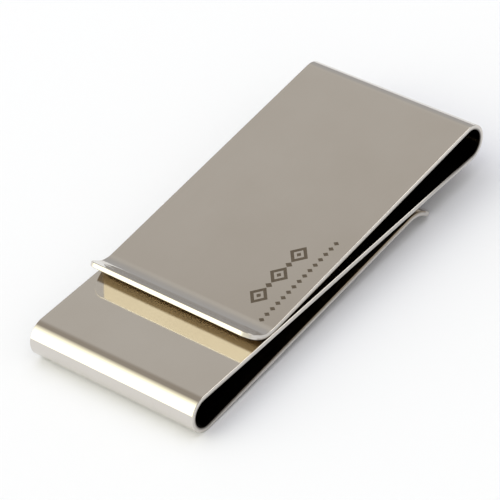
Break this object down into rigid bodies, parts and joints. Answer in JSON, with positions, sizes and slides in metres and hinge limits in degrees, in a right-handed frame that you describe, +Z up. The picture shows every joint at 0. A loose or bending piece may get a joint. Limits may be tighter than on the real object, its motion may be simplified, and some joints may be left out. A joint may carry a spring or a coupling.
{
  "type": "money clip",
  "caption": "Double-sided clip folded from a strip of polished spring steel, with a flared leaf above for banknotes and another below for cards.",
  "frame": {"origin": "under the middle of the clip, on the surface that it stands on", "axes": "+X from the front bend to the rear bend, +Y across the strip, +Z up through the leaves"},
  "size_m": [0.0674, 0.03, 0.0093],
  "materials": {
    "polished_steel": "polished stainless spring steel with faint hairlines and tumbled edges",
    "etched_mark": "matte ornament etched into the steel"
  },
  "bodies": {
    "card_leaf": {"bottom_leaf": "polished_steel", "bottom_lip": "polished_steel", "front_bend_lower": "polished_steel"},
    "middle": {"middle_leaf": "polished_steel", "rear_bend_lower": "polished_steel", "front_bend_upper": "polished_steel"},
    "note_leaf": {"top_leaf": "polished_steel", "top_lip": "polished_steel", "rear_bend_upper": "polished_steel"}
  },
  "joints": [
    {"name": "card_gap_flex", "type": "hinge", "parent": "card_leaf", "child": "middle", "pos_m": [-0.03366, 0, 0.00299], "axis": [0, -1, 0], "range_deg": [0, 8], "stiffness_Nm_per_rad": 2.5, "springref_deg": -2.01},
    {"name": "note_gap_flex", "type": "hinge", "parent": "middle", "child": "note_leaf", "pos_m": [0.03366, 0, 0.00626], "axis": [0, 1, 0], "range_deg": [0, 8], "stiffness_Nm_per_rad": 2.5, "springref_deg": -2.01}
  ]
}
